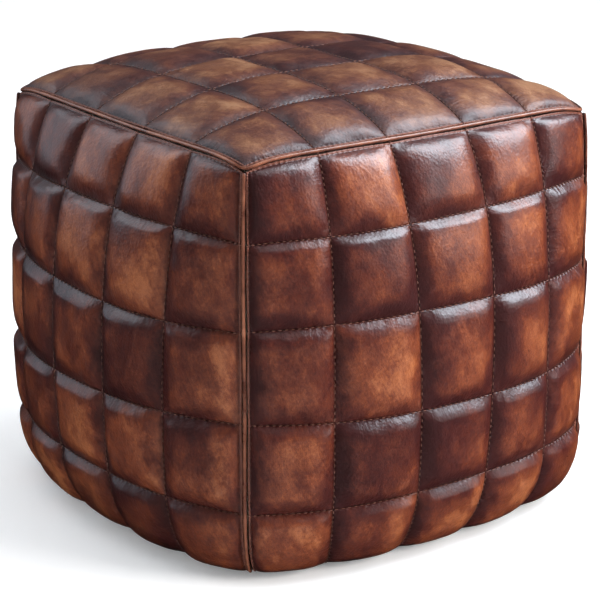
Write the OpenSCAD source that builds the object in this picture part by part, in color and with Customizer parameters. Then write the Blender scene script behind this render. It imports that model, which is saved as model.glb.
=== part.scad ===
// A stuffed leather pouf: a soft cube whose top and four sides are panels of
// sewn square patches, piped along the top edge and down the four corners,
// with a flat base that closes with a zip.
// The frame has +Z up, the front panel faces -Y, and the origin is at the
// middle of the base, on the floor.

/* [Cover] */
// Half the distance between two corner seams, at mid height
corner_half = 200; // [160:1:240]
// Height of the piped top edge above the floor
rim_height = 400; // [340:1:440]
// How far the middle of a side stands out past its corner seams
side_swell = 55; // [30:1:65]
// Rise of the middle of the top above its piped edge
dome = 33; // [15:1:45]
// How far the stuffed sides turn in under the pouf
base_tuck = 26; // [15:1:30]
// How far each top corner hangs below the piped edges beside it
corner_droop = 8; // [0:1:12]

/* [Patches] */
// How far the middle of a patch stands out past its seams
puff = 10; // [4:1:14]
// Thickness of the leather
leather = 1.4; // [1:0.1:2]
// Slot between two sewn patches, where the thread runs
seam_gap = 1.6; // [1.2:0.1:2]
// How far hand sewing moves a seam crossing, as a share of the panel
seam_wander = 0.006; // [0:0.001:0.01]

/* [Piping] */
// Radius of the leather-covered piping
welt_r = 2.6; // [2:0.1:3.2]
// Radius of the cord inside the piping
welt_cord_r = 1.5; // [1:0.1:1.6]

/* [Zip] */
// Half the length of the row of zip teeth
zip_half = 180; // [120:1:185]
// Distance from one zip tooth to the next on the same side
tooth_pitch = 3.6; // [3:0.1:5]
// Length of the pull tab
pull_length = 30; // [20:1:36]

/* [Hidden] */
n = 5;                     // patches along each edge of a panel
cuts = 3;                  // facets along each edge of a patch
bow_power = 2.6;           // how square the outline of a bulging side is
dome_power = 3.7;          // how flat the middle of the top is
foot = 3;                  // height of the base seam above the floor
tuck_share = 0.2;          // share of the side's height over which it turns in
pad_gap = 0.6;             // clearance between a patch and the padding in it
pad_depth = 3.4;           // depth of the back of the padding below the seams
backing_depth = 5;         // depth of the backing cloth below the seams
backing = 1.5;             // thickness of the backing cloth
backing_inset = 7 / 400;   // share of a panel left free at its piped edges
bag_depth = 17;            // depth of the inner bag below the seams
bag_floor = 12;            // height of the underside of the inner bag
bag_wall = 1.2;            // thickness of the inner bag's cotton
fill_gap = 0.6;            // clearance between the bag and its filling
base_cloth = 1.6;          // thickness of the base panel
strip_z = 3.2;             // height of the base panel's folded edge at the zip
strip_in = 6;              // distance of that folded edge from the zip's middle
strip_out = 18;            // where the folded edge starts to slope down
ramp = 6;                  // width of that slope
tape_z = 5;                // underside of the zip tape
tape = 0.6;                // thickness of the zip tape
tooth_z = 4.3;             // underside of the zip teeth
tooth_h = 2;               // height of the zip teeth
tooth_tip = 0.7;           // distance of the tooth tips from the zip's middle
bead = [2, 3.5];           // inner and outer edge of the rail that holds the teeth
slider_length = 14;
slider_wide = 9.8;
slider_x = zip_half - 8;   // the slider's middle, with the zip closed
slider_gap = 0.3;          // clearance between the slider and the teeth
plate = 1.05;              // thickness of the slider's two plates
pin_z = 1.95;              // height of the pull tab's pin
pin_r = 0.6;
arch = [6, 2.2, 0.35];     // length, width and lowest height of the slider's arch

PANELS = ["top", "front", "right", "rear", "left"];
ROWS = [1:n];

// ---- The shape that the seams lie on ----

function mix(a, b, f) = a + (b - a) * f;
function unit(v) = v / norm(v);
function bow(u) = 1 - pow(abs(u), bow_power);
// Spreads the columns evenly along the bowed side
function even(t) = t * (1 + 0.075 * (1 - t * t));
function tuck(w) = w >= tuck_share ? 0
    : base_tuck * (1 - sqrt(1 - pow(1 - w / tuck_share, 2)));
function corner(w) = corner_half - 3 * pow(w, 8) - tuck(w);
function swell(w) = side_swell * (1 - pow(abs(w - 0.42) / 0.62, 2.4));
function level(w) = mix(foot, rim_height, w + 0.024 * sin(360 * (w - 0.5)));
function droop(u, v) = corner_droop * pow(abs(u * v), 10);

// A point of the front side: s runs left to right, w from the base to the top
function side_seam(s, w) = let (u = even(2 * s - 1))
    [corner(w) * u,
     -(corner(w) + swell(w) * bow(u)),
     level(w) - droop(u, 1) * pow(w, 4)];

// A point of the top: s runs left to right, t from front to rear
function top_seam(s, t) = let (p = even(2 * s - 1), q = even(2 * t - 1))
    [(corner(1) + swell(1) * bow(q)) * p,
     (corner(1) + swell(1) * bow(p)) * q,
     rim_height - droop(p, q)
         + dome * (1 - pow(abs(p), dome_power)) * (1 - pow(abs(q), dome_power))];

function seam_point(top, a) = top ? top_seam(a[0], a[1]) : side_seam(a[0], a[1]);
function seam_slope(top, a, d) =
    seam_point(top, [min(a[0] + d[0], 1), min(a[1] + d[1], 1)])
    - seam_point(top, [max(a[0] - d[0], 0), max(a[1] - d[1], 0)]);
function seam_normal(top, a) = unit(cross(
    seam_slope(top, a, [0.004, 0]), seam_slope(top, a, [0, 0.004])));
function raised(top, a, h) = seam_point(top, a) + h * seam_normal(top, a);

// Seam crossing (i, j) of a panel, moved a little as hand sewing moves it
function wander(i, j, k) = i <= 0 || i >= n ? 0
    : seam_wander * sin(127 * i + 311 * j + 211 * k + 40);
function crossing(i, j, k) =
    [i / n + wander(i, j, k), j / n + wander(j, i, k + 3)];
// Place (a, b) of the patch in column i and row j, with a and b from 0 to 1
function in_patch(i, j, k, a, b) = mix(
    mix(crossing(i, j, k), crossing(i + 1, j, k), a),
    mix(crossing(i, j + 1, k), crossing(i + 1, j + 1, k), a), b);

// Share of a patch trimmed off at its low and high edge, in column or row i
side_trim = seam_gap / 2 / (2 * corner_half) * n;
welt_trim = (welt_r + 0.9) / (2 * corner_half) * n;
function trimmed(i, a, low_edge) = mix(
    i == 0 ? low_edge : side_trim,
    1 - (i == n - 1 ? welt_trim : side_trim), a);
function puffed(a, b) = puff * (1 - pow(abs(2 * a - 1), 3)) * (1 - pow(abs(2 * b - 1), 3));

// ---- Mesh helpers ----

// Two triangles for each cell of a grid of m by m points, from point number at,
// split along the line that runs towards the middle of the grid
function grid_faces(m, at, flip) = [
    for (i = [0:m - 2], j = [0:m - 2]) let (
        a = at + i * m + j, b = a + m, c = b + 1, d = a + 1,
        half = (m - 2) / 2, turned = (i - half) * (j - half) < 0)
    for (f = turned ? [[a, b, d], [b, c, d]] : [[a, b, c], [a, c, d]])
    flip ? [f[2], f[1], f[0]] : f];
// Points around the edge of such a grid, in order
function grid_edge(m) = concat(
    [for (i = [0:m - 2]) i * m],
    [for (j = [0:m - 2]) (m - 1) * m + j],
    [for (i = [m - 1:-1:1]) i * m + m - 1],
    [for (j = [m - 1:-1:1]) j]);

// A closed sheet between two grids of m by m points
module sheet(outer, inner, m) {
    edge = grid_edge(m);
    e = len(edge);
    polyhedron(concat(outer, inner), concat(
        grid_faces(m, 0, true),
        grid_faces(m, m * m, false),
        [for (k = [0:e - 1]) let (
            a = edge[k], b = edge[(k + 1) % e], c = b + m * m, d = a + m * m)
         for (f = [[a, b, c], [a, c, d]]) f]));
}

// A closed solid through rings of points, either a loop or capped at its ends
module skin(rings, loop = false) {
    m = len(rings[0]);
    count = len(rings);
    points = [for (r = rings) each r];
    last = loop ? count : count - 1;
    sides = [for (i = [0:last - 1], j = [0:m - 1]) let (
        a = i * m + j, b = i * m + (j + 1) % m,
        c = ((i + 1) % count) * m + (j + 1) % m, d = ((i + 1) % count) * m + j)
        for (f = [[a, b, c], [a, c, d]]) f];
    caps = loop ? [] : concat(
        [for (j = [1:m - 2]) [0, j + 1, j]],
        [for (j = [1:m - 2]) let (z = (count - 1) * m) [z, z + j, z + j + 1]]);
    polyhedron(points, [for (f = concat(sides, caps)) [f[2], f[1], f[0]]]);
}

// Ring of a cross-section at a point, with the plane spanned by x and y
function placed(section, at, x, y) = [for (p = section) at + p[0] * x + p[1] * y];

module on_side(panel) {
    turns = search([panel], PANELS)[0] - 1;
    rotate([0, 0, 90 * max(turns, 0)]) children();
}

// ---- Leather panels ----

module patch(panel, i, j) {
    top = panel == "top";
    k = search([panel], PANELS)[0];
    low_j = top ? welt_trim : 0.01;
    function spot(a, b) =
        in_patch(i, j, k, trimmed(i, a, welt_trim), trimmed(j, b, low_j));
    places = [for (a = [0:cuts], b = [0:cuts]) [a / cuts, b / cuts]];
    outer = [for (p = places) raised(top, spot(p[0], p[1]), puffed(p[0], p[1]))];
    inner = [for (p = places) raised(top, spot(p[0], p[1]), puffed(p[0], p[1]) - leather)];
    sheet(outer, inner, cuts + 1);
}

// Row 1 of a side is its highest, and row 1 of the top is at the front
module patch_row(panel, row) {
    j = panel == "top" ? row - 1 : n - row;
    color("saddlebrown") on_side(panel)
        for (i = [0:n - 1]) patch(panel, i, j);
}

// The loose fibre inside one patch: its back is two triangles, split as the
// backing cloth behind it is
module pad(panel, i, j) {
    top = panel == "top";
    k = search([panel], PANELS)[0];
    low_j = top ? welt_trim : 0.01;
    function spot(a, b) =
        in_patch(i, j, k, trimmed(i, a, welt_trim), trimmed(j, b, low_j));
    m = cuts + 1;
    z = m * m;
    half = (n - 1) / 2;
    turned = (i - half) * (j - half) < 0;
    front = [for (a = [0:cuts], b = [0:cuts])
        raised(top, spot(a / cuts, b / cuts),
               puffed(a / cuts, b / cuts) * 0.8 - leather - pad_gap)];
    back = [for (a = [0, 1], b = [0, 1]) raised(top, spot(a, b), -pad_depth)];
    walls = concat(
        [for (b = [0:cuts - 1]) [z, b, b + 1]],
        [for (b = [0:cuts - 1]) [z + 2, m * cuts + b + 1, m * cuts + b]],
        [for (a = [0:cuts - 1]) [z, (a + 1) * m, a * m]],
        [for (a = [0:cuts - 1]) [z + 1, a * m + cuts, (a + 1) * m + cuts]],
        [[z, cuts, z + 1], [z + 2, z + 3, z - 1],
         [z, z + 2, m * cuts], [z + 1, z - 1, z + 3]],
        turned ? [[z, z + 1, z + 2], [z + 1, z + 3, z + 2]]
               : [[z, z + 1, z + 3], [z, z + 3, z + 2]]);
    polyhedron(concat(front, back), concat(grid_faces(m, 0, true), walls));
}

module padding(panel) {
    color("linen") on_side(panel)
        for (i = [0:n - 1], j = [0:n - 1]) pad(panel, i, j);
}

// The cotton cloth that a panel's patches are sewn to
module backing(panel) {
    top = panel == "top";
    k = search([panel], PANELS)[0];
    low_inset = top ? backing_inset : 0.002;
    function spot(i, j) = let (c = crossing(i, j, k))
        [max(backing_inset, min(1 - backing_inset, c[0])),
         max(low_inset, min(1 - backing_inset, c[1]))];
    places = [for (i = [0:n], j = [0:n]) spot(i, j)];
    color("wheat") on_side(panel) sheet(
        [for (p = places) raised(top, p, -backing_depth)],
        [for (p = places) raised(top, p, -backing_depth - backing)],
        n + 1);
}

// ---- Thread ----

// One run of thread along a seam: across follows s, otherwise t
module seam_run(panel, i, across) {
    top = panel == "top";
    k = search([panel], PANELS)[0];
    steps = n * cuts;
    margin = 0.1;
    thread_r = 0.3;
    depth = across ? 0.35 : 1.35;
    function spot(q) = let (
        g = q == 0 ? margin : q == steps ? n - margin : q / cuts,
        c = min(floor(g), n - 1), a = g - c)
        across ? in_patch(c, i - 1, k, a, 1) : in_patch(i - 1, c, k, 1, a);
    section = [for (v = [90, 210, 330]) thread_r * [cos(v), sin(v)]];
    spots = [for (q = [0:steps]) spot(q)];
    rings = [for (q = [0:steps]) let (
        way = seam_point(top, spots[min(q + 1, steps)]) - seam_point(top, spots[max(q - 1, 0)]),
        up = seam_normal(top, spots[q]),
        aside = unit(cross(up, way)))
        placed(section, raised(top, spots[q], -depth), aside, up)];
    skin(rings);
}

module seam_thread(panel) {
    color("tan") on_side(panel)
        for (i = [1:n - 1], across = [false, true]) seam_run(panel, i, across);
}

// ---- Piping ----

// The leather strip is open towards the seam, where it is sewn in
function welt_section() = concat(
    [for (v = [210:48:450]) welt_r * [cos(v + 60), sin(v + 60)]],
    [for (v = [450:-48:210]) (welt_cord_r + 0.2) * [cos(v + 60), sin(v + 60)]]);
function cord_section() = [for (v = [0:60:300]) welt_cord_r * [cos(v), sin(v)]];

// Way out of the seam: between the two panels that meet there
function rim_out(s) = unit(seam_normal(false, [s, 1]) + seam_normal(true, [s, 0]));
rim_places = [0.022, 0.055, 0.12, 0.25, 0.4, 0.6, 0.75, 0.88, 0.945, 0.978];
function spun(p, v) = [p[0] * cos(v) - p[1] * sin(v), p[0] * sin(v) + p[1] * cos(v), p[2]];
function rim_ring(section, s) = let (
    out = rim_out(s),
    way = unit(seam_slope(false, [s, 1], [0.004, 0])))
    placed(section, side_seam(s, 1) + 0.4 * out, unit(cross(way, out)), out);
// At a corner the ring stands on the line that halves it, and is wider to suit
function rim_corner_ring(section) = let (
    across = [1, -1, 0] / sqrt(2),
    out = unit([-0.6, -0.6, 1]),
    aside = cross(across, out))
    placed([for (p = section) [p[0] * 1.3, p[1]]],
        side_seam(0, 1) + 0.4 * out, aside, out);
function rim_rings(section) = [
    for (k = [0:3], r = concat([rim_corner_ring(section)],
                               [for (s = rim_places) rim_ring(section, s)]))
    [for (p = r) spun(p, 90 * k)]];

module top_welt() {
    color("sienna") skin(rim_rings(welt_section()), loop = true);
}

module top_welt_cord() {
    color("beige") skin(rim_rings(cord_section()), loop = true);
}

// The front left corner, from the floor up to the top piping
corner_levels = [0.012, 0.03, 0.06, 0.11, 0.2, 0.35, 0.5, 0.65, 0.8, 0.92, 0.982];
function corner_ring(section, w) = let (
    p = side_seam(0, w),
    way = unit(side_seam(0, w + 0.004) - side_seam(0, w - 0.004)),
    across = [1, -1, 0] / sqrt(2),
    out = cross(way, across))
    placed(section, p + 0.4 * out, across, out);

module corner_welt(turn) {
    color("sienna") rotate([0, 0, turn])
        skin([for (w = corner_levels) corner_ring(welt_section(), w)]);
}

module corner_welt_cords() {
    color("beige") for (k = [0:3]) rotate([0, 0, 90 * k])
        skin([for (w = corner_levels) corner_ring(cord_section(), w)]);
}

// ---- Inner bag and filling ----

ring_steps = 6; // points of a ring on each of the four sides
// Ring of the stuffing at height share w, depth d below the seams
function stuffing_ring(w, d) = let (
    f = (corner(w) - d) / corner(w),
    low = bag_floor + d - bag_depth,
    high = rim_height - corner_droop - d - 4)
    [for (k = [0:3], m = [0:ring_steps - 1]) let (p = side_seam(m / ring_steps, w))
        spun([p[0] * f, p[1] * f, mix(low, high, (level(w) - foot) / (rim_height - foot))],
             90 * k)];
// Ring of the stuffing in its top, at a share r of the way out from the middle
function stuffing_top_ring(r, d) =
    [for (k = [0:3], m = [0:ring_steps - 1]) let (
        s = (1 + r * (2 * m / ring_steps - 1)) / 2, p = top_seam(s, (1 - r) / 2))
        spun([p[0], p[1], p[2] - d - 4], 90 * k)];
function stuffing_floor_ring(r, d) =
    [for (p = stuffing_ring(0, d)) [p[0] * r, p[1] * r, p[2]]];
function stuffing(d) = concat(
    [for (r = [0.15, 0.6]) stuffing_floor_ring(r, d)],
    [for (w = [0, 0.07, 0.22, 0.42, 0.62, 0.82, 0.95]) stuffing_ring(w, d)],
    [for (r = [0.82, 0.55, 0.2]) stuffing_top_ring(r, d)]);
function reversed(list) = [for (i = [len(list) - 1:-1:0]) list[i]];

// The bag's mouth, where it was filled, is the small hole in its floor
module inner_bag() {
    outer = stuffing(bag_depth);
    inner = stuffing(bag_depth + bag_wall);
    m = len(outer[0]);
    count = len(outer);
    function wall(at, flip) = [
        for (i = [0:count - 2], j = [0:m - 1]) let (
            a = at + i * m + j, b = at + i * m + (j + 1) % m, c = b + m, d = a + m)
        for (f = [[a, b, c], [a, c, d]]) flip ? f : reversed(f)];
    function lid(at, flip) = [
        for (j = [1:m - 2]) let (z = at + (count - 1) * m, f = [z, z + j, z + j + 1])
        flip ? f : reversed(f)];
    mouth = [for (j = [0:m - 1]) let (
        a = j, b = (j + 1) % m, c = count * m + b, d = count * m + a)
        for (f = [[a, b, c], [a, c, d]]) f];
    color("ivory") polyhedron(
        concat([for (r = outer) each r], [for (r = inner) each r]),
        concat(wall(0, false), lid(0, false),
               wall(count * m, true), lid(count * m, true), mouth));
}

module filling() {
    color("whitesmoke") skin(stuffing(bag_depth + bag_wall + fill_gap));
}

// ---- Base ----

base_half = corner(0) - leather - 1.5;
base_swell = swell(0);
module base_outline() {
    steps = 16;
    polygon([for (k = [0:3], m = [0:steps - 1]) let (
        u = 2 * m / steps - 1, p = [base_half * u, -base_half - base_swell * bow(u), 0],
        q = spun(p, 90 * k)) [q[0], q[1]]]);
}

// The base panel lies flat, and steps up to its folded edge beside the zip
module base_half_panel() {
    far = base_half + base_swell + 1;
    profile = [
        [far, 0], [strip_out + ramp, 0], [strip_out, strip_z],
        [strip_in, strip_z], [strip_in, strip_z + base_cloth],
        [strip_out - 0.7, strip_z + base_cloth], [strip_out + ramp - 0.7, base_cloth],
        [far, base_cloth]];
    intersection() {
        linear_extrude(10) base_outline();
        rotate([90, 0, -90]) translate([0, 0, -far])
            linear_extrude(2 * far) polygon(profile);
    }
}

module base_front() { color("dimgray") base_half_panel(); }
module base_rear() { color("dimgray") rotate([0, 0, 180]) base_half_panel(); }

// ---- Zip ----

tape_half = base_half + base_swell - 4;
module zip_tape() {
    color("black") translate([-tape_half, -15, tape_z])
        cube([2 * tape_half, 15 - bead[1], tape]);
}

// One rail with its teeth, on the -Y side of the zip
module zip_teeth(shift) {
    tooth = 1.7;
    count = floor(2 * zip_half / tooth_pitch) - 1;
    teeth = [for (i = [0:count - 1]) let (x = -zip_half + shift + i * tooth_pitch)
        each [[x, -bead[0]], [x + 0.3, -tooth_tip], [x + tooth - 0.3, -tooth_tip],
              [x + tooth, -bead[0]]]];
    color("dimgray") translate([0, 0, tooth_z]) linear_extrude(tooth_h)
        polygon(concat([[-zip_half, -bead[1]], [-zip_half, -bead[0]]], teeth,
                       [[zip_half, -bead[0]], [zip_half, -bead[1]]]));
}

module zip_stops() {
    color("dimgray") for (x = [-zip_half - 4, zip_half + 1])
        translate([x, -bead[1] + 0.2, tooth_z]) cube([3, 2 * bead[1] - 0.4, tooth_h]);
}

module slider_plate(z) {
    half = slider_length / 2;
    wide = slider_wide / 2;
    nose = 3.2;
    translate([slider_x, 0, z]) linear_extrude(plate) polygon([
        [-half, -wide + 1], [-half + 1, -wide], [half - 4, -wide], [half, -nose],
        [half, nose], [half - 4, wide], [-half + 1, wide], [-half, wide - 1]]);
}

module zip_slider() {
    low = tooth_z - slider_gap;
    high = tooth_z + tooth_h + slider_gap;
    flange = 0.9;
    color("silver") difference() {
        union() {
            slider_plate(low - plate);
            slider_plate(high);
            // The wedge that parts the teeth joins the two plates at the nose
            translate([slider_x + slider_length / 2 - 4, -0.4, low - 0.2])
                cube([3.6, 0.8, high - low + 0.4]);
            for (side = [-1, 1]) {
                y = side > 0 ? slider_wide / 2 - flange : -slider_wide / 2;
                translate([slider_x - slider_length / 2 + 1, y, low - 0.2])
                    cube([slider_length - 5, flange, tape_z - slider_gap - low + 0.2]);
                translate([slider_x - slider_length / 2 + 1, y, tape_z + tape + slider_gap])
                    cube([slider_length - 5, flange, high - tape_z - tape - slider_gap + 0.2]);
            }
            translate([slider_x - arch[0] / 2, -arch[1] / 2, arch[2]])
                cube([arch[0], arch[1], low - plate + 0.2 - arch[2]]);
        }
        translate([slider_x, arch[1], pin_z]) rotate([90, 0, 0])
            cylinder(r = pin_r + 0.3, h = 2 * arch[1], $fn = 32);
    }
}

module zip_pull() {
    arm = 1.2;
    inner = arch[1] / 2 + 0.4;
    start = 4.2;
    thick = 2 * pin_r;
    color("silver") translate([slider_x, 0, pin_z]) {
        rotate([90, 0, 0]) translate([0, 0, -inner - arm])
            cylinder(r = pin_r, h = 2 * (inner + arm), $fn = 32);
        for (side = [-1, 1]) translate([0, side > 0 ? inner : -inner - arm, -pin_r])
            cube([start + 1, arm, thick]);
        translate([start, 0, -pin_r]) linear_extrude(thick) difference() {
            union() {
                translate([0, -inner - arm]) square([pull_length - 8, 2 * (inner + arm)]);
                translate([pull_length - 8, 0]) circle(r = inner + arm, $fn = 48);
            }
            translate([pull_length - 8, 0]) circle(r = 1.2, $fn = 32);
        }
    }
}

// ---- Nodes ----

for (p = PANELS, r = ROWS)
    patch_row(p, r);
for (p = PANELS) {
    padding(p);
    backing(p);
    seam_thread(p);
}
top_welt();
top_welt_cord();
corner_welt(0);  // front_left_welt
corner_welt(90);  // front_right_welt
corner_welt(180);  // rear_right_welt
corner_welt(270);  // rear_left_welt
corner_welt_cords();
inner_bag();
filling();
base_front();
base_rear();
zip_tape();  // zip_tape_front
rotate([0, 0, 180]) zip_tape();  // zip_tape_rear
zip_teeth(0.5);  // zip_teeth_front
rotate([0, 0, 180]) zip_teeth(0.5 + 1.75);  // zip_teeth_rear
zip_stops();
zip_slider();
zip_pull();
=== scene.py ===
"""Looks of a stuffed leather pouf: square patches, seams, piping, zipped base.

Lengths are in millimetres up to the point where a mesh is made. A panel's own
coordinates run 0 to 5 across it, one unit for each patch, and a side panel is
made facing -Y and then turned into place.
"""
import math

import bpy
import numpy as np
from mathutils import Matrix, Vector


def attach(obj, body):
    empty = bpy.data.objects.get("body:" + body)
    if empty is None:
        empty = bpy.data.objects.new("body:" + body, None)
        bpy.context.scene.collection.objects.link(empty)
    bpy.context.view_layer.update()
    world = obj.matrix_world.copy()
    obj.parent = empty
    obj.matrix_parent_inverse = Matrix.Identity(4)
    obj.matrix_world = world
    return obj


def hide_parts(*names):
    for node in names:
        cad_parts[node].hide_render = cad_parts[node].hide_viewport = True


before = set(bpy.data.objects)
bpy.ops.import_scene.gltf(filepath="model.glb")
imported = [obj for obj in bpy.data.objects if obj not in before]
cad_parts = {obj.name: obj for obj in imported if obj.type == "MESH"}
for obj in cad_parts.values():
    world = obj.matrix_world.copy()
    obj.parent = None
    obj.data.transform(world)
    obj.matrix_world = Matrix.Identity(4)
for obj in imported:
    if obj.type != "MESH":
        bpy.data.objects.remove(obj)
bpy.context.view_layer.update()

MM = 0.001
PANELS = ["top", "front", "right", "rear", "left"]
TURN = {"top": 0, "front": 0, "right": 90, "rear": 180, "left": 270}
N = 5                 # patches along each edge of a panel
PATCH = 84            # width of a patch
STITCHES = 14         # stitches along each edge of a patch
K = 16                # simulated cells along each edge of a patch
FINE = 2 * K          # cells of the finished leather along the same edge
FRAMES = 22           # simulated steps
SKIN = 1.2            # thickness of the leather

# ---- The shape that the seams lie on, as in the CAD model ----

CORNER_HALF, RIM, SWELL, DOME, TUCK, DROOP = 200.0, 400.0, 55.0, 33.0, 26.0, 8.0
FOOT, TUCK_SHARE, BOW_POWER, DOME_POWER = 3.0, 0.2, 2.6, 3.7
WELT_R = 2.6
BAG_FLOOR, BAG_DEPTH = 12, 17


def bow(u):
    return 1 - np.abs(u) ** BOW_POWER


def even(t):
    return t * (1 + 0.075 * (1 - t * t))


def tuck(w):
    x = np.clip(1 - w / TUCK_SHARE, 0, 1)
    return TUCK * (1 - np.sqrt(1 - x * x))


def corner(w):
    return CORNER_HALF - 3 * np.clip(w, 0, 1) ** 8 - tuck(w)


def swell(w):
    return SWELL * (1 - (np.abs(w - 0.42) / 0.62) ** 2.4)


def level(w):
    return FOOT + (RIM - FOOT) * (w + 0.024 * np.sin(2 * np.pi * (w - 0.5)))


def droop(u, v):
    return DROOP * np.abs(u * v) ** 10


def side_seam(s, w):
    u = even(2 * s - 1)
    c = corner(w)
    return np.stack([c * u, -(c + swell(w) * bow(u)),
                     level(w) - droop(u, 1) * np.clip(w, 0, 1) ** 4], -1)


def top_seam(s, t):
    p, q = even(2 * s - 1), even(2 * t - 1)
    c, b = corner(np.float64(1)), swell(np.float64(1))
    z = RIM - droop(p, q) + DOME * (1 - np.abs(p) ** DOME_POWER) * (1 - np.abs(q) ** DOME_POWER)
    return np.stack([(c + b * bow(q)) * p, (c + b * bow(p)) * q, z], -1)


def unit(v):
    return v / np.maximum(np.linalg.norm(v, axis=-1, keepdims=True), 1e-9)


def seam_point(top, s, t):
    return top_seam(s, t) if top else side_seam(s, t)


def seam_normal(top, s, t, d=0.004):
    across = seam_point(top, np.minimum(s + d, 1), t) - seam_point(top, np.maximum(s - d, 0), t)
    along = seam_point(top, s, np.minimum(t + d, 1)) - seam_point(top, s, np.maximum(t - d, 0))
    return unit(np.cross(across, along))


def wander(i, j, k):
    i, j = np.broadcast_arrays(i, j)
    w = 0.006 * np.sin(np.radians(127 * i + 311 * j + 211 * k + 40))
    return np.where((i <= 0) | (i >= N), 0.0, w)


def share(k, x, y):
    """Panel share of a place given in patches, 0 to 5 each way."""
    i = np.clip(np.floor(x), 0, N - 1)
    j = np.clip(np.floor(y), 0, N - 1)
    a, b = x - i, y - j

    def crossing(p, q):
        return np.stack([p / N + wander(p, q, k), q / N + wander(q, p, k + 3)], -1)

    a, b = a[..., None], b[..., None]
    return ((crossing(i, j) * (1 - a) + crossing(i + 1, j) * a) * (1 - b)
            + (crossing(i, j + 1) * (1 - a) + crossing(i + 1, j + 1) * a) * b)


def turned(points, panel):
    a = math.radians(TURN[panel])
    m = np.array([[math.cos(a), -math.sin(a), 0], [math.sin(a), math.cos(a), 0], [0, 0, 1]])
    return points @ m.T


def wave(x, y, seed, scale):
    """Smooth bumps between about -1 and 1, from a few sines."""
    total = np.zeros(np.broadcast(x, y).shape)
    for n in range(5):
        a = seed * 1.7 + n * 2.399
        total += np.sin((x * math.cos(a) + y * math.sin(a)) * scale * (0.7 + 0.35 * n)
                        + seed * 5.1 + n * 1.3)
    return total / 3


# ---- Meshes ----

def make(name, points, faces, material=None):
    mesh = bpy.data.meshes.new(name)
    mesh.from_pydata((np.asarray(points) * MM).tolist(), [], [list(f) for f in faces])
    mesh.update()
    mesh.shade_smooth()
    piece = bpy.data.objects.new(name, mesh)
    bpy.context.scene.collection.objects.link(piece)
    if material:
        mesh.materials.append(material)
    return piece


def set_vector(piece, name, values):
    layer = piece.data.attributes.new(name, "FLOAT_VECTOR", "POINT")
    layer.data.foreach_set("vector", np.asarray(values, np.float32).ravel())


def grid_faces(rows, cols, at=0):
    i, j = np.meshgrid(np.arange(rows - 1), np.arange(cols - 1), indexing="ij")
    a = (at + i * cols + j).ravel()
    return np.stack([a, a + cols, a + cols + 1, a + 1], -1).tolist()


def tube_faces(count, around, loop, at=0):
    """Faces between rings of points; a tube that isn't a loop is closed at both ends."""
    last = count if loop else count - 1
    faces = []
    for i in range(last):
        for j in range(around):
            a, b = at + i * around + j, at + i * around + (j + 1) % around
            c = at + ((i + 1) % count) * around
            faces.append([a, c + j, c + (j + 1) % around, b])
    if not loop:
        faces.append([at + j for j in range(around)])
        faces.append([at + (count - 1) * around + j for j in reversed(range(around))])
    return faces


def sweep(path, ups, section, loop=False):
    """Points of a section carried along a path; x of the section is across, y is up."""
    path = np.asarray(path)
    if loop:
        way = np.roll(path, -1, 0) - np.roll(path, 1, 0)
    else:
        way = np.gradient(path, axis=0)
    way = unit(way)
    ups = unit(ups - (ups * way).sum(-1, keepdims=True) * way)
    across = np.cross(way, ups)
    section = np.asarray(section)
    if section.ndim == 2:
        section = np.broadcast_to(section, (len(path),) + section.shape)
    return (path[:, None] + section[..., :1] * across[:, None]
            + section[..., 1:] * ups[:, None]).reshape(-1, 3)


def add_modifier(piece, kind, **settings):
    m = piece.modifiers.new(kind.lower(), kind)
    for key, value in settings.items():
        setattr(m, key, value)
    return m


def place(piece, slot, *nodes):
    """Fixes a piece to the pouf, in place of its CAD nodes."""
    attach(piece, "pouf")
    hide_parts(*nodes)


# ---- Materials ----

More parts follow.
